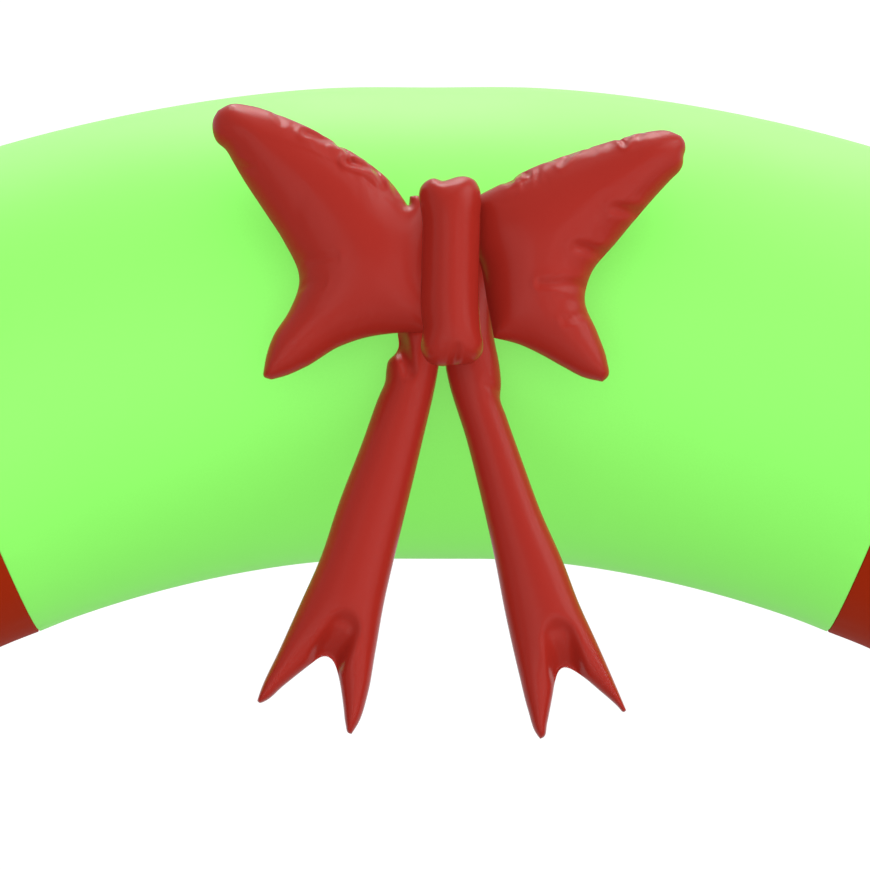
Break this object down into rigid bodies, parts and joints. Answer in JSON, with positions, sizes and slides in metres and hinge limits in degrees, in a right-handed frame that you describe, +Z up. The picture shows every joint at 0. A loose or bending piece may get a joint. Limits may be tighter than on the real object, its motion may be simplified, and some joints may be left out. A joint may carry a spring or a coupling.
{
  "type": "inflatable arch",
  "caption": "Walk-through inflatable arch: a half ring of tube in green and red panels, with a red inflated bow on its front.",
  "frame": {"origin": "on the floor, in the middle of the whole object's width and depth", "axes": "+X across the arch, to the right of someone facing the bow; +Y through the arch, away from the bow; +Z up"},
  "size_m": [6, 1.1078, 3],
  "materials": {
    "green_cloth": "matte woven nylon, light green",
    "red_cloth": "matte woven nylon, red",
    "red_coated_cloth": "coated nylon with a soft satin sheen, red"
  },
  "bodies": {
    "root": {"crown_panel": "green_cloth", "leg_panel_left": "red_cloth", "leg_panel_right": "red_cloth", "bow_wing_left": "red_coated_cloth", "bow_wing_right": "red_coated_cloth", "bow_knot": "red_coated_cloth", "bow_tail_left": "red_coated_cloth", "bow_tail_right": "red_coated_cloth"}
  },
  "joints": []
}
